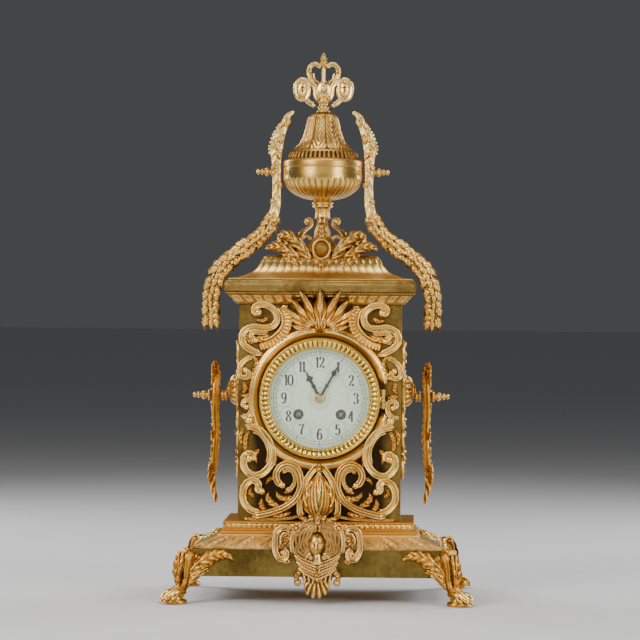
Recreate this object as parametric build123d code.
from build123d import *
import math
import os

# Gilt brass mantel clock. +X is the clock's right as its dial is read, -Y is the front, +Z is up.
# The origin is on the table, midway between the four feet. All lengths are in millimetres.

# --- Driving dimensions -------------------------------------------------------------------------
# Plinth
APRON_HALF_X = 107.0
APRON_HALF_Y = 80.0
APRON_BOTTOM = 22.7
APRON_TOP = 46.0
APRON_WALL = 4.0
BAND_TOP = 57.7
STEP_HALF_X = 82.0
STEP_HALF_Y = 56.0
STEP_MARGIN = 3.5
STEP_SPLIT = 61.0
STEP_TOP = 68.5

# Feet
TOE_X = 133.0
TOE_Y = 106.0
FOOT_TOP = 48.0
FOOT_HALF_WIDTH = 9.0
LEAF_THICK = 4.0

# Case
CASE_HALF_X = 70.5
CASE_HALF_Y = 45.0
CASE_WALL = 3.0
CASE_TOP = 256.0
MOUNT_THICK = 5.0
CORNICE_TOP = 266.5
CORNICE_HALF_X = 83.0
CORNICE_HALF_Y = 57.5
CUSHION_TOP = 277.0
CADDY_TOP = 299.0
CADDY_OUTLINE = [
    (80.0, CUSHION_TOP), (79.0, 278.5), (69.0, 280.0), (61.0, 282.5), (56.0, 286.0), (52.5, 290.5),
    (51.0, 295.0), (48.0, CADDY_TOP),
]

# Dial and its opening
DIAL_Z = 175.0
DIAL_R = 44.2
FRONT_HOLE_R = 46.0
BEZEL_R = 52.5
BEZEL_BACK = -46.9
BEZEL_DEPTH = 9.1
GLASS_R = 45.1
GLASS_LIFT = 4.2
GLASS_THICK = 1.6
SIGHT_R = 43.4
WINDING_X = 18.4
WINDING_DROP = 14.1
DOOR_HINGE_X = 55.0
DOOR_HINGE_Y = -53.0
HINGE_PIN_R = 0.8
HINGE_BORE_R = 0.86
KNUCKLE_R = 1.8
FIXED_KNUCKLES = [(DIAL_Z - 8, DIAL_Z - 3.2), (DIAL_Z + 3.2, DIAL_Z + 8)]
MOVING_KNUCKLE = (DIAL_Z - 3, DIAL_Z + 3)
HINGE_PIN_LENGTH = 17.0

# Back of the case
REAR_HOLE_R = 44.0
REAR_DOOR_R = 47.0
REAR_HINGE_X = -50.5
REAR_HINGE_Y = 50.0

# Urn, on the clock's axis
URN_STEM_BOTTOM = 332.0
BOWL_BOTTOM = 348.0
BOWL_TOP = 377.0
LID_TOP = 426.0
FINIAL_TOP = 478.0
BOWL_R = 35.0
GARLAND_HALF_Y = 7.0
GARLAND_SCREW_Z = 372.6

# Side handles
HANDLE_IN = 88.0
HANDLE_OUT = 98.0
HANDLE_BOTTOM = 81.0
HANDLE_TOP = 207.0
SPACER_Z = 176.0
HANDLE_HALF_Y = 8.0

# Movement: two round plates with the wheel train between them
FRONT_PLATE_Y = -34.0
BACK_PLATE_Y = -6.0
PLATE_THICK = 2.0
PLATE_R = 40.5
PIVOT_CLEAR = 0.05
ARBOR_R = 0.8
PENDULUM_LENGTH = 108.0
ANCHOR_RISE = 36.0
ROD_Y = 3.0


# --- Small builders -----------------------------------------------------------------------------
def save(name, shape):
    """Write one sub-part."""
    export_step(shape, "parts/" + name + ".step")


def block(x, y, z):
    """A box from its low and high values along each axis."""
    centre = Pos((x[0] + x[1]) / 2, (y[0] + y[1]) / 2, (z[0] + z[1]) / 2)
    return centre * Box(x[1] - x[0], y[1] - y[0], z[1] - z[0])


def rod_y(x, z, y, radius):
    """A round bar along Y between two depths."""
    return Pos(x, (y[0] + y[1]) / 2, z) * Rot(90, 0, 0) * Cylinder(radius, y[1] - y[0])


def rod_x(y, z, x, radius):
    """A round bar along X."""
    return Pos((x[0] + x[1]) / 2, y, z) * Rot(0, 90, 0) * Cylinder(radius, x[1] - x[0])


def ring_y(x, z, y, outer, inner):
    """A flat ring whose axis is along Y."""
    return rod_y(x, z, y, outer) - rod_y(x, z, (y[0] - 1, y[1] + 1), inner)


def turned(profile):
    """A solid of revolution about Z from (radius, height) points, closed on the axis."""
    closed = [(0, profile[0][1])] + list(profile) + [(0, profile[-1][1])]
    face = Plane.XZ * make_face(Polyline(*closed, close=True))
    return revolve(face, Axis.Z, 360)


def turned_ring(profile):
    """A ring of revolution about Z from a closed (radius, height) outline."""
    return revolve(Plane.XZ * make_face(Polyline(*profile, close=True)), Axis.Z, 360)


def along_y(shape, x, y, z):
    """Lay a shape that was turned about Z over, so that its top faces the front (-Y)."""
    return Pos(x, y, z) * Rot(90, 0, 0) * shape


def along_x(shape, x, y, z, side):
    """Lay a shape that was turned about Z over, so that its top points to side * X."""
    return Pos(x, y, z) * Rot(0, 90 * side, 0) * shape


def plate_xz(outline, y_back, thick):
    """A plate cut to an outline in the XZ plane, standing forward of y_back."""
    face = make_face(Polyline(*outline, close=True))
    return extrude(Plane.XZ.offset(-y_back) * face, thick)


def frustum(low, high, z_low, z_high):
    """A rectangular block that changes size evenly from (half x, half y) low to high."""
    bottom = Pos(0, 0, z_low) * Rectangle(2 * low[0], 2 * low[1])
    top = Pos(0, 0, z_high) * Rectangle(2 * high[0], 2 * high[1])
    return loft([bottom, top], ruled=True)


def mirrored(shape):
    """The same shape on the other side of the YZ plane."""
    return mirror(shape, Plane.YZ)


# --- Plinth -------------------------------------------------------------------------------------
def plinth_apron():
    """Plain four-sided frame, open below."""
    outer = block((-APRON_HALF_X, APRON_HALF_X), (-APRON_HALF_Y, APRON_HALF_Y), (APRON_BOTTOM, APRON_TOP))
    inner_x = APRON_HALF_X - APRON_WALL
    inner_y = APRON_HALF_Y - APRON_WALL
    return outer - block((-inner_x, inner_x), (-inner_y, inner_y), (APRON_BOTTOM - 1, APRON_TOP + 1))


def plinth_leaf_band():
    """Sloping moulding that carries the leaf ornament."""
    low = (APRON_HALF_X, APRON_HALF_Y)
    high = (STEP_HALF_X + STEP_MARGIN, STEP_HALF_Y + STEP_MARGIN)
    shell = frustum(low, high, APRON_TOP, BAND_TOP)
    hollow_x = STEP_HALF_X - 6
    hollow_y = STEP_HALF_Y - 6
    return shell - block((-hollow_x, hollow_x), (-hollow_y, hollow_y), (APRON_TOP - 1, BAND_TOP + 1))


TIE_PLACES = [(-62, -36), (62, -36), (-62, 36), (62, 36)]
TIE_R = 2.0
ROD_TOP = 262.0


def plinth_step():
    """Two-tier slab that closes the plinth and floors the case."""
    wide_x = STEP_HALF_X + STEP_MARGIN - 1
    wide_y = STEP_HALF_Y + STEP_MARGIN - 1
    slab = block((-wide_x, wide_x), (-wide_y, wide_y), (BAND_TOP, STEP_SPLIT))
    slab += block((-STEP_HALF_X, STEP_HALF_X), (-STEP_HALF_Y, STEP_HALF_Y), (STEP_SPLIT, STEP_TOP))
    for x, y in TIE_PLACES:
        slab -= Pos(x, y, STEP_SPLIT) * Cylinder(TIE_R, 30)
    return slab


def paw_foot(side_x, side_y):
    """Diagonal leg with a paw, and two leaf wings lying on the apron."""
    reach = math.hypot(TOE_X - APRON_HALF_X, TOE_Y - APRON_HALF_Y)
    outline = [
        (-30, 22), (-6, 22), (2, 12), (6, 0), (reach - 4, 0), (reach, 3), (reach - 1, 8),
        (reach - 10, 15), (reach - 17, 19), (reach - 20, 28), (reach - 19, 38), (reach - 22, FOOT_TOP - 2),
        (reach - 28, FOOT_TOP), (-30, FOOT_TOP),
    ]
    leg = extrude(Plane.XZ * make_face(Polyline(*outline, close=True)), FOOT_HALF_WIDTH, both=True)
    angle = math.degrees(math.atan2(TOE_Y - APRON_HALF_Y, TOE_X - APRON_HALF_X))
    leg = Pos(APRON_HALF_X, -APRON_HALF_Y, 0) * Rot(0, 0, -angle) * leg
    front_wing = plate_xz(
        [(70, 38), (76, 45), (APRON_HALF_X, 47), (117, 40), (109, 17), (98, 20), (86, 27), (76, 31)],
        -APRON_HALF_Y, LEAF_THICK,
    )
    side_outline = [(-44, 38), (-50, 45), (-80, 47), (-90, 40), (-82, 17), (-71, 20), (-60, 27), (-50, 31)]
    side_face = Plane.YZ.offset(APRON_HALF_X) * make_face(Polyline(*side_outline, close=True))
    side_wing = extrude(side_face, LEAF_THICK)
    foot = leg + front_wing + side_wing
    foot -= block((0, APRON_HALF_X), (-APRON_HALF_Y, 0), (APRON_BOTTOM, APRON_TOP))
    foot -= block((0, APRON_HALF_X + 0.2), (-APRON_HALF_Y - 0.2, 0), (APRON_TOP, 60))
    foot -= block((0, APRON_HALF_X - 12), (-APRON_HALF_Y + 12, 0), (0, 60))
    foot &= block((0, TOE_X), (-TOE_Y, 0), (0, FOOT_TOP))
    if side_x < 0:
        foot = mirror(foot, Plane.YZ)
    if side_y > 0:
        foot = mirror(foot, Plane.XZ)
    return foot


def mask_mount():
    """Shield with a head in front of the apron, scrolls at its sides and a ruffle below."""
    shield = plate_xz(
        [
            (0, 24), (-17, 32), (-22, 47), (-20, 64), (-10, 75),
            (0, 77), (10, 75), (20, 64), (22, 47), (17, 32),
        ],
        -APRON_HALF_Y, 6,
    )
    ruffle = plate_xz(
        [(-19, 24), (-17, 12), (-8, 6), (0, 4.8), (8, 6), (17, 12), (19, 24), (0, 30)], -APRON_HALF_Y, 8,
    )
    scroll_right = ring_y(28.5, 48, (-APRON_HALF_Y - 6, -APRON_HALF_Y), 9, 3)
    scroll_right += ring_y(26, 37, (-APRON_HALF_Y - 6, -APRON_HALF_Y), 6, 2)
    mount = shield + ruffle + scroll_right + mirrored(scroll_right)
    head = Pos(0, -APRON_HALF_Y - 6, 49.5) * scale(Sphere(1), (9, 8, 12))
    collar = Pos(0, -APRON_HALF_Y - 6, 35) * scale(Sphere(1), (15, 5, 5))
    mount += (head + collar) & block((-30, 30), (-120, -APRON_HALF_Y), (0, 90))
    slope = frustum((APRON_HALF_X, APRON_HALF_Y), (STEP_HALF_X + STEP_MARGIN, STEP_HALF_Y + STEP_MARGIN),
                    APRON_TOP, BAND_TOP)
    return mount - slope


def side_shell(side):
    """Shell ornament that leans on the sloping band at each end of the plinth."""
    outline = [(-24, 46.2), (-22, 54), (-12, 60), (0, 62), (12, 60), (22, 54), (24, 46.2)]
    face = Plane.YZ.offset(84) * make_face(Polyline(*outline, close=True))
    shell = extrude(face, 18)
    shell -= frustum((APRON_HALF_X, APRON_HALF_Y), (STEP_HALF_X + STEP_MARGIN, STEP_HALF_Y + STEP_MARGIN),
                     APRON_TOP, BAND_TOP)
    shell -= block((0, STEP_HALF_X + STEP_MARGIN), (-60, 60), (BAND_TOP, STEP_TOP))
    return shell if side > 0 else mirrored(shell)


# --- Case ---------------------------------------------------------------------------------------
def case_front_plate():
    """Front sheet with the round opening for the dial."""
    sheet = block((-CASE_HALF_X, CASE_HALF_X), (-CASE_HALF_Y, -CASE_HALF_Y + CASE_WALL), (STEP_TOP, CASE_TOP))
    return sheet - rod_y(0, DIAL_Z, (-60, 0), FRONT_HOLE_R)


def case_back_plate():
    """Back sheet with the round opening for the rear door."""
    sheet = block((-CASE_HALF_X, CASE_HALF_X), (CASE_HALF_Y - CASE_WALL, CASE_HALF_Y), (STEP_TOP, CASE_TOP))
    return sheet - rod_y(0, DIAL_Z, (0, 60), REAR_HOLE_R)


def case_side():
    """Right-hand side sheet."""
    depth = CASE_HALF_Y - CASE_WALL
    return block((CASE_HALF_X - CASE_WALL, CASE_HALF_X), (-depth, depth), (STEP_TOP, CASE_TOP))


def case_tie_rods():
    """Four long rods that pull the cornice down on the plinth."""
    middle = (BAND_TOP + ROD_TOP) / 2
    rods = [Pos(x, y, middle) * Cylinder(TIE_R, ROD_TOP - BAND_TOP) for x, y in TIE_PLACES]
    return Compound(children=rods)


def case_tie_nuts():
    """Square nuts under the plinth step."""
    nut_high = 4.0
    nuts = []
    for x, y in TIE_PLACES:
        nut = Pos(x, y, BAND_TOP - nut_high / 2) * Box(9, 9, nut_high)
        nuts.append(nut)
    return Compound(children=nuts)


def cornice():
    """Egg-and-dart moulding that flares out over the case."""
    low = (CASE_HALF_X + 2.2, CASE_HALF_Y + 2.2)
    high = (CORNICE_HALF_X, CORNICE_HALF_Y)
    body = frustum(low, high, CASE_TOP, CORNICE_TOP)
    for x, y in TIE_PLACES:
        body -= Pos(x, y, (CASE_TOP + ROD_TOP) / 2 - 1) * Cylinder(TIE_R, ROD_TOP - CASE_TOP + 2)
    return body + cornice_cushion()


def mitred(outline_x, depth_less):
    """A moulding with the same outline on all four sides, shallower by depth_less front to back."""
    points_x = outline_x + [(-x, z) for x, z in reversed(outline_x)]
    outline_y = [(x - depth_less, z) for x, z in outline_x]
    points_y = outline_y + [(-y, z) for y, z in reversed(outline_y)]
    across = extrude(Plane.XZ * make_face(Polyline(*points_x, close=True)), 120, both=True)
    along = extrude(Plane.YZ * make_face(Polyline(*points_y, close=True)), 120, both=True)
    return across & along


def cornice_cushion():
    """Rounded cushion moulding on the cornice."""
    half = CORNICE_HALF_X
    outline = [
        (half - 1.5, CORNICE_TOP), (half + 0.3, CORNICE_TOP + 2), (half + 0.6, CORNICE_TOP + 5),
        (half - 0.4, CUSHION_TOP - 2.5), (half - 3, CUSHION_TOP),
    ]
    return mitred(outline, CORNICE_HALF_X - CORNICE_HALF_Y)


def caddy_top():
    """Ogee cap that carries the urn."""
    cap = mitred(CADDY_OUTLINE, CORNICE_HALF_X - CORNICE_HALF_Y)
    return cap - Pos(0, 0, CADDY_TOP) * Cylinder(URN_ROD_R, 24)


def side_relief(side):
    """Pierced relief strip on the case side, with the cartouche that carries the handle."""
    outline = [(-20, 112), (-28, 150), (-22, 205), (0, 227), (22, 205), (28, 150), (20, 112), (0, 104)]
    relief = extrude(Plane.YZ.offset(CASE_HALF_X) * make_face(Polyline(*outline, close=True)), 4.5)
    bulge = Pos(CASE_HALF_X, 0, 181) * scale(Sphere(1), (12.5, 17, 14))
    relief += bulge & block((CASE_HALF_X, CASE_HALF_X + 20), (-40, 40), (100, 230))
    return relief if side > 0 else mirrored(relief)


# --- Side handles -------------------------------------------------------------------------------
def side_handle(side):
    """Upright pierced handle: leaf crest, straight bar, and a tail that ends in a point."""
    outline = [
        (HANDLE_IN, 205), (90, HANDLE_TOP), (94, HANDLE_TOP - 1), (95, 196), (HANDLE_OUT, 180), (97, 165),
        (HANDLE_OUT, 130), (HANDLE_OUT - 1, 104), (95, 92), (90, HANDLE_BOTTOM + 1), (89, HANDLE_BOTTOM),
        (88.5, 92), (HANDLE_IN, 110), (90, 130), (89.5, 165), (HANDLE_IN, 180), (HANDLE_IN, 196),
    ]
    bar = extrude(Plane.XZ * make_face(Polyline(*outline, close=True)), HANDLE_HALF_Y, both=True)
    for z in (118, 142, 190):
        bar -= rod_x(0, z, (80, 110), 4)
    return bar if side > 0 else mirrored(bar)


def handle_spacers():
    """Turned posts between the side cartouches and the handles."""
    profile = [(4.5, 0), (4.5, 1.5), (3, 2.2), (3, 3.2), (4.2, 4), (4.2, 5)]
    posts = []
    for side in (-1, 1):
        post = along_x(turned(profile), side * (HANDLE_IN - 5), 0, SPACER_Z, side)
        posts.append(post - side_relief(side))
    return Compound(children=posts)


def turned_finial(length):
    """Profile of a small turned screw finial that tapers to a button."""
    return [
        (4.4, 0), (4.4, 1.6), (2.6, 2.6), (2.2, length * 0.35), (3.4, length * 0.48), (2.0, length * 0.6),
        (1.5, length * 0.78), (2.3, length * 0.88), (1.6, length),
    ]


def handle_finials():
    """Screw finials on the outside of the handles."""
    screws = [along_x(turned(turned_finial(15)), side * HANDLE_OUT, 0, SPACER_Z, side) for side in (-1, 1)]
    faces = side_handle(1) + side_handle(-1)
    return Compound(children=[screw - faces for screw in screws])


# --- Front mount --------------------------------------------------------------------------------
def scroll(x, z, radius, thick=3.5):
    """One open scroll of the front mount: a flat ring on the case front."""
    return ring_y(x, z, (-CASE_HALF_Y - MOUNT_THICK, -CASE_HALF_Y), radius, radius - thick)


def front_scroll_mount():
    """One pierced casting round the dial, with a shell above and open scrolls below."""
    front = -CASE_HALF_Y
    half = ring_y(0, DIAL_Z, (front - MOUNT_THICK, front), BEZEL_R + 7, BEZEL_R + 1.2)
    scrolls = [(42, 236, 15), (56, 222, 12), (60, 208, 9), (45, 104, 17), (27, 92, 13), (56, 124, 12)]
    for x, z, radius in scrolls:
        half += scroll(x, z, radius)
    half += plate_xz([(5, 80), (63, 82), (63, 77), (5, 74)], front, MOUNT_THICK)
    half += plate_xz([(57, 160), (69, 166), (69, 190), (60, 197), (55, 190), (58, 175)], front, MOUNT_THICK)
    strand = [(40, 112), (48, 140), (64, 140), (66, 90), (60, 90), (58, 120), (50, 122)]
    half += plate_xz(strand, front, MOUNT_THICK)
    half += plate_xz([(0, 74), (0, 122), (14, 118), (16, 100), (10, 80)], front, MOUNT_THICK)
    half += plate_xz([(0, 226), (0, 255.5), (40, 255.5), (46, 236), (30, 222)], front, MOUNT_THICK)
    half &= block((0, CASE_HALF_X), (-80, 0), (STEP_TOP, CASE_TOP))
    mount = half + mirrored(half)
    fan = [(-26, 229), (-30, 244), (-20, 257), (0, 262), (20, 257), (30, 244), (26, 229)]
    shell = plate_xz(fan, front - MOUNT_THICK, 10)
    bud = Pos(0, front - MOUNT_THICK, 92) * scale(Sphere(1), (10, 9, 20))
    mount += shell + bud & block((-60, 60), (-80, front), (STEP_TOP, 270))
    mount -= frustum((CASE_HALF_X + 2.3, CASE_HALF_Y + 2.3), (CORNICE_HALF_X, CORNICE_HALF_Y + 0.2),
                     CASE_TOP, CORNICE_TOP)
    mount -= rod_y(0, DIAL_Z, (-80, 0), BEZEL_R + 1.2)
    hinge_room = block((50, 62), (-80, front), (DIAL_Z - 9, DIAL_Z + 9))
    return mount - hinge_room


# --- Dial and front door ------------------------------------------------------------------------
def dial_pan():
    """Spun brass ring that carries the dial and the door hinge."""
    flange = ring_y(0, DIAL_Z, (-46.5, -CASE_HALF_Y), 51.5, 44.6)
    tube = ring_y(0, DIAL_Z, (-46.5, -36), FRONT_HOLE_R - 0.2, 44.6)
    web = ring_y(0, DIAL_Z, (-38, -36), FRONT_HOLE_R - 0.2, 32)
    pan = flange + tube + web
    lug = block((49, 53.3), (-46.5, -CASE_HALF_Y), (DIAL_Z - 8, DIAL_Z + 8))
    return pan + lug


def knuckle(x, y, z, bore_r):
    """One knuckle of a small hinge, between two heights."""
    length = z[1] - z[0]
    return Pos(x, y, (z[0] + z[1]) / 2) * (Cylinder(KNUCKLE_R, length) - Cylinder(bore_r, length + 1))


def door_hinge():
    """Two fixed knuckles on an arm from the dial pan."""
    arms = []
    for z in FIXED_KNUCKLES:
        arm = block((DOOR_HINGE_X + 0.6, DOOR_HINGE_X + 2.2), (DOOR_HINGE_Y, -CASE_HALF_Y), z)
        arm -= door_hinge_pin()
        foot = block((53.3, DOOR_HINGE_X + 2.2), (-46.5, -CASE_HALF_Y), z)
        arms.append(knuckle(DOOR_HINGE_X, DOOR_HINGE_Y, z, HINGE_PIN_R) + arm + foot)
    return Compound(children=arms)


def door_hinge_pin():
    """Pin through the three knuckles, fast in the fixed ones."""
    return Pos(DOOR_HINGE_X, DOOR_HINGE_Y, DIAL_Z) * Cylinder(HINGE_PIN_R, HINGE_PIN_LENGTH)


def bezel_ring():
    """Cast bezel of the front door: a round rim, a slope for the gadroons, and its hinge knuckle."""
    profile = [
        (46.6, 0), (52, 0), (BEZEL_R, 1.2), (BEZEL_R, 7.2), (51.6, 8.8), (50.2, BEZEL_DEPTH), (48.8, 8.8),
        (46, 7.8), (SIGHT_R, 6.6), (SIGHT_R, GLASS_LIFT + GLASS_THICK),
        (GLASS_R + 0.1, GLASS_LIFT + GLASS_THICK), (GLASS_R + 0.1, GLASS_LIFT), (46.6, GLASS_LIFT),
    ]
    ring = along_y(turned_ring(profile), 0, BEZEL_BACK, DIAL_Z)
    leaf = block((51, 53.5), (DOOR_HINGE_Y - 1.2, DOOR_HINGE_Y + 1.2), MOVING_KNUCKLE)
    return ring + (leaf + knuckle(DOOR_HINGE_X, DOOR_HINGE_Y, MOVING_KNUCKLE, HINGE_BORE_R))


def door_glass():
    """Round glass with a bevelled edge, in the bezel's rebate."""
    disc = Cylinder(GLASS_R, GLASS_THICK)
    rim = disc.edges().filter_by(GeomType.CIRCLE).group_by(Axis.Z)[-1]
    disc = chamfer(rim, 0.5, 3)
    return along_y(disc, 0, BEZEL_BACK - GLASS_LIFT - GLASS_THICK / 2, DIAL_Z)


def sight_ring():
    """Thin ring that holds the glass in from behind."""
    profile = [(SIGHT_R + 0.2, 2.9), (46.5, 2.9), (46.5, GLASS_LIFT), (SIGHT_R + 0.2, GLASS_LIFT)]
    return along_y(turned_ring(profile), 0, BEZEL_BACK, DIAL_Z)


def dial():
    """Enamel dial with holes for the hands and for winding, and two copper feet soldered behind."""
    disc = rod_y(0, DIAL_Z, (-45.4, -43.8), DIAL_R)
    disc -= rod_y(0, DIAL_Z, (-50, -40), 3.2)
    for side in (-1, 1):
        disc -= rod_y(side * WINDING_X, DIAL_Z - WINDING_DROP, (-50, -40), 3.6)
    for side in (-1, 1):
        disc += rod_y(side * 38, DIAL_Z, (-43.8, -38), 1.2)
    return disc


# --- Hands --------------------------------------------------------------------------------------
HAND_THICK = 0.5
HOUR_HAND_Y = -46.4
MINUTE_HAND_Y = -48.2
HOUR_ANGLE = -28.0
MINUTE_ANGLE = 29.5


def hand(outline, y_front, angle, hub_r, bore_r):
    """A flat hand, turned clockwise by angle from twelve o'clock."""
    right = [(x, z) for x, z in outline]
    left = [(-x, z) for x, z in reversed(outline) if x > 0]
    blade = plate_xz(right + left, 0, HAND_THICK)
    blade += rod_y(0, 0, (-HAND_THICK, 0), hub_r)
    blade -= rod_y(0, 0, (-9, 9), bore_r)
    return Pos(0, y_front + HAND_THICK, DIAL_Z) * Rot(0, angle, 0) * blade


def hour_hand():
    """Short hand with a lozenge and two scroll arms."""
    outline = [(0, 29), (0.8, 22), (3.6, 18.5), (1.2, 17), (1.2, 13), (2.2, 11.5), (1.0, 10), (1.4, 3)]
    return hand(outline, HOUR_HAND_Y, HOUR_ANGLE, 4.2, 2.4)


def minute_hand():
    """Long hand with a narrow lozenge and a cross bar."""
    outline = [
        (0, 39), (0.5, 33), (0.9, 28), (2.4, 25), (0.9, 22), (0.9, 14), (1.9, 12.5), (0.9, 11), (1.2, 3),
    ]
    return hand(outline, MINUTE_HAND_Y, MINUTE_ANGLE, 3.6, 1.3)


def hand_collet():
    """Domed brass collet in front of the minute hand."""
    dome = turned([(5.4, 0), (5.2, 0.8), (4, 1.8), (2.2, 2.3)])
    return along_y(dome, 0, MINUTE_HAND_Y, DIAL_Z)


# --- Wheels of the movement ---------------------------------------------------------------------
def pitch_point(angle, radius):
    """A point on a circle in the wheel's own plane."""
    return (radius * math.cos(angle), radius * math.sin(angle))


def wheel_face(teeth, module, phase):
    """Outline of a toothed wheel: straight-sided teeth, thinner than half the pitch."""
    pitch_r = teeth * module / 2
    tip_r = pitch_r + 0.75 * module
    root_r = pitch_r - 0.95 * module
    step = 2 * math.pi / teeth
    points = []
    for tooth in range(teeth):
        middle = phase + tooth * step
        for share, radius in ((-0.24, root_r), (-0.09, tip_r), (0.09, tip_r), (0.24, root_r)):
            points.append(pitch_point(middle + share * step, radius))
    return make_face(Polyline(*points, close=True))


def wheel(teeth, module, phase, place, y, bore):
    """A toothed wheel or pinion at an arbor's place, between two depths."""
    solid = extrude(Plane.XZ.offset(-y[1]) * wheel_face(teeth, module, phase), y[1] - y[0])
    solid = Pos(place[0], 0, DIAL_Z + place[1]) * solid
    if bore > 0:
        solid -= rod_y(place[0], DIAL_Z + place[1], (y[0] - 1, y[1] + 1), bore)
    return solid


def mesh_phase(place_a, teeth_a, phase_a, place_b, teeth_b):
    """Phase of wheel b that sets its teeth between those of wheel a."""
    line = math.atan2(place_b[1] - place_a[1], place_b[0] - place_a[0])
    return line + math.pi - (teeth_a / teeth_b) * (phase_a - line) - math.pi / teeth_b


def meet(place_a, reach_a, place_b, reach_b, side):
    """The point at two given distances from two arbors, on the chosen side of the line between them."""
    dx = place_b[0] - place_a[0]
    dz = place_b[1] - place_a[1]
    apart = math.hypot(dx, dz)
    along = (reach_a**2 - reach_b**2 + apart**2) / (2 * apart)
    off = side * math.sqrt(reach_a**2 - along**2)
    return (place_a[0] + (along * dx - off * dz) / apart, place_a[1] + (along * dz + off * dx) / apart)


def centre_distance(teeth_a, teeth_b, module):
    """Distance between the arbors of two wheels in mesh."""
    return (teeth_a + teeth_b) * module / 2


# Tooth counts and modules: barrel, intermediate, centre, third, escape
BARREL_TEETH = 72
INTER_PINION = 10
BARREL_MODULE = 0.49
INTER_TEETH = 60
CENTRE_PINION = 10
INTER_MODULE = 0.45
CENTRE_TEETH = 72
THIRD_PINION = 8
CENTRE_MODULE = 0.38
THIRD_TEETH = 66
ESCAPE_PINION = 7
THIRD_MODULE = 0.36
ESCAPE_TEETH = 28
ESCAPE_MODULE = 0.62
FLY_PINION = 8
# Motion work behind the dial
CANNON_TEETH = 12
MINUTE_WHEEL_TEETH = 36
MINUTE_PINION = 10
HOUR_TEETH = 40
CANNON_MODULE = 0.5
HOUR_MODULE = CANNON_MODULE * (CANNON_TEETH + MINUTE_WHEEL_TEETH) / (MINUTE_PINION + HOUR_TEETH)

# Depths of the wheels between the plates
CENTRE_Y = (-31.2, -29.8)
INTER_Y = (-28.2, -26.8)
STRIKE_Y = (-25.2, -23.8)
THIRD_Y = (-22.2, -20.8)
ESCAPE_Y = (-19.4, -18.4)
GREAT_Y = (-17.4, -15.9)
BARREL_Y = (-15.9, -7.4)
MINUTE_WHEEL_Y = (-42.2, -41.2)
MINUTE_PINION_Y = (-41.2, -39.4)
HOUR_WHEEL_Y = (-40.8, -39.6)
BARREL_R = 15.0
BARREL_ARBOR_R = 2.6
STUD_R = 0.9

CENTRE = (0.0, 0.0)
GOING = (WINDING_X, -WINDING_DROP)
STRIKING = (-WINDING_X, -WINDING_DROP)
INTER = meet(
    CENTRE, centre_distance(INTER_TEETH, CENTRE_PINION, INTER_MODULE),
    GOING, centre_distance(BARREL_TEETH, INTER_PINION, BARREL_MODULE), 1,
)
STRIKE_INTER = (-INTER[0], INTER[1])
THIRD = (0.0, centre_distance(CENTRE_TEETH, THIRD_PINION, CENTRE_MODULE))
ANCHOR = (0.0, ANCHOR_RISE)
ESCAPE = meet(THIRD, centre_distance(THIRD_TEETH, ESCAPE_PINION, THIRD_MODULE), ANCHOR, 11.9, -1)
FLY_REACH = centre_distance(INTER_TEETH, FLY_PINION, INTER_MODULE)
FLY = (STRIKE_INTER[0] + FLY_REACH * math.cos(math.radians(104)),
       STRIKE_INTER[1] + FLY_REACH * math.sin(math.radians(104)))
MINUTE_ARBOR = (0.0, -centre_distance(CANNON_TEETH, MINUTE_WHEEL_TEETH, CANNON_MODULE))
HAMMER = (-36.0, 0.0)
PILLARS = [(-28, 27), (28, 27), (-10, -37.5), (10, -37.5)]

INNER_FRONT = FRONT_PLATE_Y + PLATE_THICK
INNER_BACK = BACK_PLATE_Y
PIVOTS = [
    (CENTRE, 1.5), (GOING, BARREL_ARBOR_R), (STRIKING, BARREL_ARBOR_R), (INTER, ARBOR_R),
    (STRIKE_INTER, ARBOR_R), (THIRD, ARBOR_R), (ESCAPE, ARBOR_R), (FLY, ARBOR_R), (ANCHOR, ARBOR_R),
    (HAMMER, 1.2),
]


def arbor(place, radius, y):
    """A round arbor at a wheel's place."""
    return rod_y(place[0], DIAL_Z + place[1], y, radius)


def movement_plate(y):
    """Round plate with a running hole for every arbor."""
    plate = rod_y(0, DIAL_Z, (y, y + PLATE_THICK), PLATE_R)
    for place, radius in PIVOTS:
        plate -= arbor(place, radius + PIVOT_CLEAR, (y - 1, y + PLATE_THICK + 1))
    return plate


def movement_front_plate():
    """Front plate, with the riveted stud of the minute wheel."""
    return movement_plate(FRONT_PLATE_Y) + minute_wheel_stud()


def movement_back_plate():
    """Back plate."""
    return movement_plate(BACK_PLATE_Y)


def movement_pillars():
    """Four turned pillars that hold the plates apart."""
    return Compound(children=[arbor(place, 2.0, (INNER_FRONT, INNER_BACK)) for place in PILLARS])


def movement_straps():
    """Two arms from the movement's front plate to the dial pan."""
    arms = []
    for side in (-1, 1):
        arm = block((side * 36 - 3, side * 36 + 3), (-36, FRONT_PLATE_Y), (DIAL_Z - 4, DIAL_Z + 4))
        arms.append(arm)
    return Compound(children=arms)


def barrel(place, phase):
    """Spring barrel with its great wheel on one end, round the arbor that carries the winding square."""
    drum = arbor(place, BARREL_R, BARREL_Y)
    great = wheel(BARREL_TEETH, BARREL_MODULE, phase, place, GREAT_Y, 0)
    bore = arbor(place, BARREL_ARBOR_R + PIVOT_CLEAR, (GREAT_Y[0] - 1, BARREL_Y[1] + 1))
    return drum + great - bore


def winding_arbor(place):
    """Barrel arbor, with a square at the front for the key."""
    core = arbor(place, BARREL_ARBOR_R, (FRONT_PLATE_Y - 0.5, BACK_PLATE_Y + PLATE_THICK + 0.5))
    square = block((-1.8, 1.8), (-44.6, FRONT_PLATE_Y - 0.5), (-1.8, 1.8))
    return core + Pos(place[0], 0, DIAL_Z + place[1]) * square


def wheel_arbor(place, big, small, shaft_r):
    """An arbor with one wheel and one pinion; each is given as teeth, module, phase and depths."""
    shaft = arbor(place, shaft_r, (FRONT_PLATE_Y, BACK_PLATE_Y + PLATE_THICK))
    for teeth, module, phase, y in (big, small):
        shaft += wheel(teeth, module, phase, place, y, 0)
    return shaft


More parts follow.
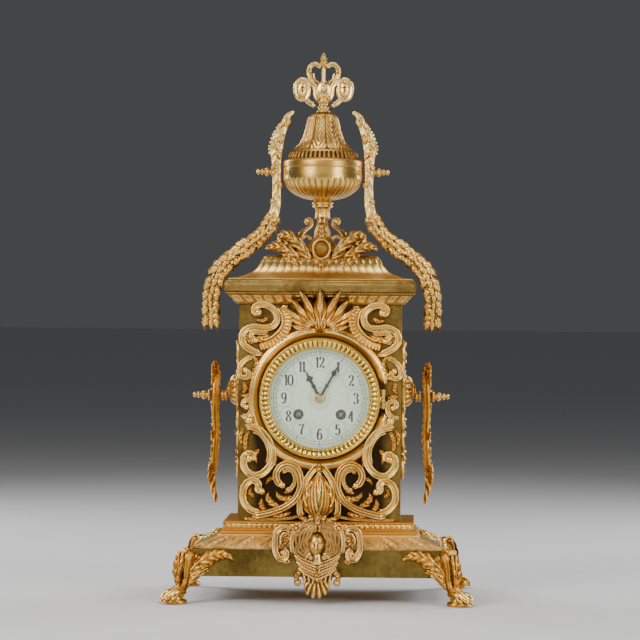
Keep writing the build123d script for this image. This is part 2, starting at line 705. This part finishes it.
BARREL_PHASE = 0.0
INTER_PHASE = mesh_phase(GOING, BARREL_TEETH, BARREL_PHASE, INTER, INTER_PINION)
CENTRE_PHASE = mesh_phase(INTER, INTER_TEETH, 0.0, CENTRE, CENTRE_PINION)
THIRD_PHASE = mesh_phase(CENTRE, CENTRE_TEETH, 0.0, THIRD, THIRD_PINION)
ESCAPE_PHASE = mesh_phase(THIRD, THIRD_TEETH, 0.0, ESCAPE, ESCAPE_PINION)
STRIKE_PHASE = mesh_phase(STRIKING, BARREL_TEETH, BARREL_PHASE, STRIKE_INTER, INTER_PINION)
FLY_PHASE = mesh_phase(STRIKE_INTER, INTER_TEETH, 0.0, FLY, FLY_PINION)
MINUTE_PHASE = mesh_phase(CENTRE, CANNON_TEETH, 0.0, MINUTE_ARBOR, MINUTE_WHEEL_TEETH)
HOUR_PHASE = mesh_phase(MINUTE_ARBOR, MINUTE_PINION, 0.0, CENTRE, HOUR_TEETH)


def spread(y, by):
    """Depths widened by a little at both ends, for a pinion longer than its wheel is thick."""
    return (y[0] - by, y[1] + by)


def intermediate_arbor():
    """Second arbor of the going train."""
    return wheel_arbor(
        INTER, (INTER_TEETH, INTER_MODULE, 0.0, INTER_Y),
        (INTER_PINION, BARREL_MODULE, INTER_PHASE, spread(GREAT_Y, 0.4)), ARBOR_R,
    )


def centre_arbor():
    """Centre arbor, which reaches forward through the cannon pinion to the hands."""
    shaft = wheel_arbor(
        CENTRE, (CENTRE_TEETH, CENTRE_MODULE, 0.0, CENTRE_Y),
        (CENTRE_PINION, INTER_MODULE, CENTRE_PHASE, spread(INTER_Y, 0.4)), 1.5,
    )
    return shaft + arbor(CENTRE, 1.0, (-47.0, FRONT_PLATE_Y))


def third_arbor():
    """Third arbor of the going train."""
    return wheel_arbor(
        THIRD, (THIRD_TEETH, THIRD_MODULE, 0.0, THIRD_Y),
        (THIRD_PINION, CENTRE_MODULE, THIRD_PHASE, spread(CENTRE_Y, 0.3)), ARBOR_R,
    )


def escape_arbor():
    """Escape wheel and its pinion."""
    return wheel_arbor(
        ESCAPE, (ESCAPE_TEETH, ESCAPE_MODULE, 0.0, ESCAPE_Y),
        (ESCAPE_PINION, THIRD_MODULE, ESCAPE_PHASE, spread(THIRD_Y, 0.3)), ARBOR_R,
    )


def strike_arbor():
    """Pin wheel arbor of the striking train."""
    return wheel_arbor(
        STRIKE_INTER, (INTER_TEETH, INTER_MODULE, 0.0, STRIKE_Y),
        (INTER_PINION, BARREL_MODULE, STRIKE_PHASE, spread(GREAT_Y, 0.4)), ARBOR_R,
    )


def fly_arbor():
    """Air brake of the striking train: a pinion and two vanes."""
    shaft = arbor(FLY, ARBOR_R, (FRONT_PLATE_Y, BACK_PLATE_Y + PLATE_THICK))
    shaft += wheel(FLY_PINION, INTER_MODULE, FLY_PHASE, FLY, spread(STRIKE_Y, 0.3), 0)
    vane = block((-4.6, 4.6), (-19.5, -9), (-0.25, 0.25))
    return shaft + Pos(FLY[0], 0, DIAL_Z + FLY[1]) * vane


def cannon_pinion():
    """Tube with the cannon pinion, which slips on the centre arbor when the hands are set."""
    tube = ring_y(0, DIAL_Z, (MINUTE_HAND_Y, -38.6), 1.3, 1.0 + PIVOT_CLEAR)
    pinion = wheel(CANNON_TEETH, CANNON_MODULE, 0.0, CENTRE, spread(MINUTE_WHEEL_Y, 0.1), 1.0 + PIVOT_CLEAR)
    return tube + pinion


def hour_wheel():
    """Hour wheel on its own pipe round the cannon tube."""
    rim = wheel(HOUR_TEETH, HOUR_MODULE, HOUR_PHASE, CENTRE, HOUR_WHEEL_Y, 1.3 + PIVOT_CLEAR)
    pipe = ring_y(0, DIAL_Z, (-46.4, HOUR_WHEEL_Y[0]), 2.4, 1.3 + PIVOT_CLEAR)
    cut = rod_y(0, DIAL_Z, (MINUTE_WHEEL_Y[0] - 0.3, MINUTE_WHEEL_Y[1] + 0.3), 4)
    return rim + (pipe - cut)


def minute_wheel():
    """Minute wheel and pinion of the motion work."""
    bore = STUD_R + PIVOT_CLEAR
    big = wheel(MINUTE_WHEEL_TEETH, CANNON_MODULE, MINUTE_PHASE, MINUTE_ARBOR, MINUTE_WHEEL_Y, bore)
    small = wheel(MINUTE_PINION, HOUR_MODULE, 0.0, MINUTE_ARBOR, MINUTE_PINION_Y, bore)
    return big + small


def minute_wheel_stud():
    """Fixed stud for the minute wheel."""
    return arbor(MINUTE_ARBOR, STUD_R, (-42.6, FRONT_PLATE_Y))


# --- Escapement and pendulum --------------------------------------------------------------------
def anchor_and_crutch():
    """Anchor, its arbor and the crutch behind the back plate."""
    shaft = arbor(ANCHOR, ARBOR_R, (-21, 0))
    arms = []
    for angle in (-148, -67):
        arm = Rot(0, -angle, 0) * block((0, 11), (-0.6, 0.6), (-0.9, 0.9))
        arms.append(Pos(0, sum(ESCAPE_Y) / 2, DIAL_Z + ANCHOR_RISE) * arm)
    clear_of_wheel = arbor(ESCAPE, ESCAPE_TEETH * ESCAPE_MODULE / 2 + 1.2, spread(ESCAPE_Y, 1))
    anchor = shaft + (arms[0] - clear_of_wheel) + (arms[1] - clear_of_wheel)
    crutch = block((-0.7, 0.7), (-2.5, -1.2), (DIAL_Z + ANCHOR_RISE - 32, DIAL_Z + ANCHOR_RISE))
    fork = block((-0.7, 0.7), (-2.5, 2.0), (DIAL_Z + ANCHOR_RISE - 32, DIAL_Z + ANCHOR_RISE - 30.5))
    return anchor + crutch + fork


def pendulum_rod():
    """Flat rod with its suspension hook at the top."""
    top = DIAL_Z + ANCHOR_RISE
    return block((-1.2, 1.2), (ROD_Y - 1, ROD_Y + 1), (top - PENDULUM_LENGTH - 16, top))


def pendulum_bob():
    """Lens-shaped brass bob."""
    lens = turned([(14, 0), (15, 1), (14, 2), (9, 3.6), (0.01, 4.2)])
    bob = along_y(lens, 0, ROD_Y, DIAL_Z + ANCHOR_RISE - PENDULUM_LENGTH)
    bob += along_y(mirror(lens, Plane.XY), 0, ROD_Y, DIAL_Z + ANCHOR_RISE - PENDULUM_LENGTH)
    return bob - pendulum_rod()


def rating_nut():
    """Knurled nut under the bob."""
    low = DIAL_Z + ANCHOR_RISE - PENDULUM_LENGTH - 19
    return Pos(0, ROD_Y, low + 1.5) * Cylinder(3, 3)


def suspension_cock():
    """Bracket on the back plate that holds the pendulum's suspension."""
    top = DIAL_Z + ANCHOR_RISE
    bracket = block((-9, 9), (BACK_PLATE_Y + PLATE_THICK, -2.9), (top - 6, top + 3))
    bracket += block((-3, 3), (-2.9, 6), (top + 1, top + 3))
    return bracket - arbor(ANCHOR, ARBOR_R + PIVOT_CLEAR, (-10, 10))


# --- Bell ---------------------------------------------------------------------------------------
BELL_Z = 178.0
BELL_RIM_Y = 15.0
BELL_R = 29.0


def bell():
    """Hollow bell, mouth towards the movement."""
    outline = [
        (BELL_R, 0), (BELL_R - 1, 5), (BELL_R - 5, 12), (BELL_R - 13, 17), (3, 19), (3, 17),
        (BELL_R - 14, 15.2), (BELL_R - 6.6, 10.6), (BELL_R - 2.8, 4.5), (BELL_R - 2, 0),
    ]
    cup = turned_ring(outline)
    return Pos(0, BELL_RIM_Y, BELL_Z) * Rot(-90, 0, 0) * cup


def bell_stand():
    """Bracket from the back plate to the middle of the bell."""
    stand = rod_y(14, DIAL_Z - 28, (BACK_PLATE_Y + PLATE_THICK, 12), 2)
    strap = plate_xz([(11, -29), (17, -29), (3.5, 4), (-3.5, 4)], 12, 2)
    stand += Pos(0, 0, DIAL_Z) * strap
    return stand + rod_y(0, BELL_Z, (10, BELL_RIM_Y + 19), 3)


def bell_nut():
    """Nut that holds the bell."""
    return rod_y(0, BELL_Z, (BELL_RIM_Y + 19, BELL_RIM_Y + 22), 4.5)


def bell_hammer():
    """Hammer on its arbor; the head rests just clear of the bell."""
    shaft = arbor(HAMMER, 1.2, (FRONT_PLATE_Y, 19))
    arm = block((-0.9, 0.9), (17, 19), (0, 20))
    head = Pos(0, 18, 20) * Cylinder(3, 6)
    return shaft + Pos(HAMMER[0], 0, DIAL_Z + HAMMER[1]) * Rot(0, 20, 0) * (arm + head)


# --- Rear door ----------------------------------------------------------------------------------
def rear_ring():
    """Spun ring in the back of the case, with the fixed knuckles of the rear hinge."""
    ring = ring_y(0, DIAL_Z, (CASE_HALF_Y, 46.5), 49, 42)
    ring += ring_y(0, DIAL_Z, (38, CASE_HALF_Y), REAR_HOLE_R - 0.2, 42)
    for z in FIXED_KNUCKLES:
        ring += knuckle(REAR_HINGE_X, REAR_HINGE_Y, z, HINGE_PIN_R)
        arm = block((REAR_HINGE_X - 2.2, REAR_HINGE_X - 0.9), (CASE_HALF_Y, REAR_HINGE_Y), z)
        foot = block((REAR_HINGE_X - 2.2, -46.5), (CASE_HALF_Y, 46.5), z)
        ring += (arm + foot) - rear_hinge_pin()
    return ring


def rear_door():
    """Round back door with a turned rim and a small knob."""
    disc = rod_y(0, DIAL_Z, (46.8, 48.4), REAR_DOOR_R)
    disc += ring_y(0, DIAL_Z, (48.4, 50.0), REAR_DOOR_R, REAR_DOOR_R - 3)
    leaf = block((REAR_HINGE_X + 1.2, -45), (48.4, 50), MOVING_KNUCKLE)
    knob = rod_y(38, DIAL_Z, (48.4, 53), 2.5)
    return disc + leaf + knuckle(REAR_HINGE_X, REAR_HINGE_Y, MOVING_KNUCKLE, HINGE_BORE_R) + knob


def rear_hinge_pin():
    """Pin of the rear hinge."""
    return Pos(REAR_HINGE_X, REAR_HINGE_Y, DIAL_Z) * Cylinder(HINGE_PIN_R, HINGE_PIN_LENGTH)


# --- Urn, garlands and crown --------------------------------------------------------------------
URN_ROD_R = 2.5


def acanthus_cartouche():
    """Spray of leaves with an oval boss, standing in front of the urn's foot."""
    outline = [
        (0, 279), (16, 280), (26, 286), (38, 297), (49, 306), (44, 312), (34, 314), (28, 319), (16, 316),
        (0, 319),
    ]
    left = [(-x, z) for x, z in reversed(outline[1:-1])]
    spray = plate_xz(outline + left, -22, 8)
    boss = Pos(0, -30, 305) * scale(Sphere(1), (6.5, 5, 8.5))
    spray += boss & block((-20, 20), (-40, -29), (290, 320))
    tab = block((-12, 12), (-22, -8), (CADDY_TOP, CADDY_TOP + 3))
    lower = mitred([(CADDY_OUTLINE[0][0], CORNICE_TOP)] + CADDY_OUTLINE[1:], CORNICE_HALF_X - CORNICE_HALF_Y)
    return spray + tab - lower


def urn_foot():
    """Spreading foot with four small scroll consoles."""
    foot = turned([(17.5, 299), (17.5, 302), (14, 305), (9, 312), (7, 320), (7.5, 330), (8, URN_STEM_BOTTOM)])
    foot -= block((-13, 13), (-40, -7.9), (298, CADDY_TOP + 3.1))
    for quarter in range(4):
        console = block((6, 13), (-2.5, 2.5), (306, 331))
        foot += Rot(0, 0, 45 + 90 * quarter) * console
    return foot - Pos(0, 0, 320) * Cylinder(URN_ROD_R, 60)


def urn_stem():
    """Fluted waist and double ring under the bowl."""
    profile = [
        (8, URN_STEM_BOTTOM), (6.6, 334), (7.4, 339), (10.2, 341.5), (10.2, 344), (9, 345), (10.4, 346),
        (11, BOWL_BOTTOM),
    ]
    stem = turned(profile)
    return stem - Pos(0, 0, 340) * Cylinder(URN_ROD_R, 30)


def urn_bowl():
    """Gadrooned bowl, hollow, closed by the lid."""
    outline = [
        (11, BOWL_BOTTOM), (22, 350.5), (30, 355.5), (34, 361.5), (BOWL_R, 367), (BOWL_R, 374),
        (34, BOWL_TOP),
    ]
    bowl = turned(outline)
    bowl -= turned([(20, 353.5), (27, 357.5), (31, 364), (31.5, BOWL_TOP + 1)])
    bowl -= Pos(0, 0, 350) * Cylinder(URN_ROD_R, 20)
    return bowl


def urn_lid():
    """Bell-shaped lid, hollow, with a torus rim."""
    outline = [
        (35.5, BOWL_TOP), (36.2, 378.2), (34.5, 379.6), (31.5, 380.4), (31, 381.5), (29, 384), (26, 388),
        (20, 389.5), (16.5, 392), (14, 396), (12.5, 404), (10.5, 416), (10, 418.5), (6, 420), (4.2, 423),
        (5.5, LID_TOP),
    ]
    lid = turned(outline)
    lid -= turned([(28, BOWL_TOP - 1), (27, 380), (22, 385), (12, 390), (8, 400), (6, 412)])
    return lid - Pos(0, 0, 415) * Cylinder(URN_ROD_R, 40)


def urn_tie_rod():
    """Long screw that clamps the urn's pieces to the caddy top."""
    low = CADDY_TOP - 12
    return Pos(0, 0, (low + 421) / 2) * Cylinder(URN_ROD_R, 421 - low)


def crown_finial():
    """Flat pierced crown of loops and scrolls on a turned neck."""
    neck = turned([(5.5, LID_TOP), (4, 429), (4.5, 432), (3, 436)])
    thick = 5.0
    y = thick / 2
    spike = [(-4, 432), (-3, 462), (-2.4, 470), (0, FINIAL_TOP), (2.4, 470), (3, 462), (4, 432)]
    crown = plate_xz(spike, y, thick)
    for side in (-1, 1):
        for x, z, radius, inner in ((9, 462, 7.5, 4.5), (18.5, 445, 8.5, 5), (8.5, 440, 6, 3)):
            crown += ring_y(side * x, z, (-y, y), radius, inner)
        crown += plate_xz([(side * 4, 452), (side * 17, 456), (side * 17, 451), (side * 4, 447)], y, thick)
    return neck + crown


def garland(side):
    """Leaf scroll, straight stem and hanging husk swag, in one casting."""
    outer = [
        (26, 426), (34, 422), (41, 410), (47, 393), (45, 383), (44, 357), (46, 335), (58, 320), (74, 308),
        (94, 290), (102, 275), (106, 247), (100, 237),
    ]
    inner = [
        (94, 233), (89, 245), (88, 262), (85.5, 276), (76, 289), (60, 300), (47, 309), (39, 322),
        (36.6, 335), (36.6, 380), (35.5, 390), (33, 405), (29, 417), (25, 424),
    ]
    swag = extrude(Plane.XZ * make_face(Polyline(*(outer + inner), close=True)), GARLAND_HALF_Y, both=True)
    swag -= rod_x(0, GARLAND_SCREW_Z, (30, 60), 1.6)
    return swag if side > 0 else mirrored(swag)


def garland_screws():
    """Turned screw finials through the garlands into the bowl."""
    screws = []
    for side in (-1, 1):
        head = along_x(turned(turned_finial(14)), side * 44.6, 0, GARLAND_SCREW_Z, side)
        shank = rod_x(0, GARLAND_SCREW_Z, (35.0, 45.2) if side > 0 else (-45.2, -35.0), 1.6)
        screws.append(head + shank - urn_bowl())
    return Compound(children=[screw - garland(1) - garland(-1) for screw in screws])


# --- Write every sub-part -----------------------------------------------------------------------
def both_sides(make):
    """The left and right copies of a piece, as two solids."""
    return Compound(children=[make(-1), make(1)])


def group(*makers):
    """Several small pieces of one body, kept as separate solids."""
    solids = []
    for make in makers:
        solids.extend(make().solids())
    return Compound(children=solids)


def main():
    """Make every sub-part and write it."""
    os.makedirs("parts", exist_ok=True)
    for end, side_y in (("front", -1), ("rear", 1)):
        save("paw_feet_" + end, Compound(children=[paw_foot(-1, side_y), paw_foot(1, side_y)]))
    for name, side in (("left", -1), ("right", 1)):
        save("side_handle_" + name, side_handle(side))
        save("garland_" + name, garland(side))
    save("side_shells", both_sides(side_shell))
    save("side_reliefs", both_sides(side_relief))
    save("case_sides", Compound(children=[case_side(), mirrored(case_side())]))
    pieces = {
        "plinth_apron": plinth_apron, "plinth_leaf_band": plinth_leaf_band, "plinth_step": plinth_step,
        "mask_mount": mask_mount, "case_front_plate": case_front_plate, "case_back_plate": case_back_plate,
        "cornice": cornice, "caddy_top": caddy_top, "front_scroll_mount": front_scroll_mount,
        "dial_pan": dial_pan, "bezel_ring": bezel_ring, "door_glass": door_glass, "sight_ring": sight_ring,
        "dial": dial, "hour_hand": hour_hand, "minute_hand": minute_hand,
        "intermediate_arbor": intermediate_arbor, "centre_arbor": centre_arbor,
        "third_arbor": third_arbor, "escape_arbor": escape_arbor,
        "strike_arbor": strike_arbor, "fly_arbor": fly_arbor,
        "cannon_pinion": cannon_pinion, "hour_wheel": hour_wheel, "minute_wheel": minute_wheel,
        "anchor_and_crutch": anchor_and_crutch, "pendulum_rod": pendulum_rod,
        "bell": bell, "bell_hammer": bell_hammer, "rear_door": rear_door,
        "acanthus_cartouche": acanthus_cartouche, "urn_foot": urn_foot, "urn_stem": urn_stem,
        "urn_bowl": urn_bowl, "urn_lid": urn_lid,
        "crown_finial": crown_finial, "garland_screws": garland_screws,
        "movement_front_plate": movement_front_plate, "movement_back_plate": movement_back_plate,
    }
    for name, make in pieces.items():
        save(name, make())
    groups = {
        "tie_rods": (case_tie_rods, case_tie_nuts, urn_tie_rod),
        "handle_screws": (handle_spacers, handle_finials),
        "door_hinge": (door_hinge, door_hinge_pin),
        "rear_ring": (rear_ring, rear_hinge_pin),
        "movement_pillars": (movement_pillars, movement_straps, suspension_cock),
        "hand_collet": (hand_collet,),
        "pendulum_bob": (pendulum_bob, rating_nut),
        "bell_stand": (bell_stand, bell_nut),
    }
    for name, makers in groups.items():
        save(name, group(*makers))
    for name, place in (("going", GOING), ("strike", STRIKING)):
        save(name + "_barrel", barrel(place, BARREL_PHASE))
        save(name + "_winding_arbor", winding_arbor(place))


main()
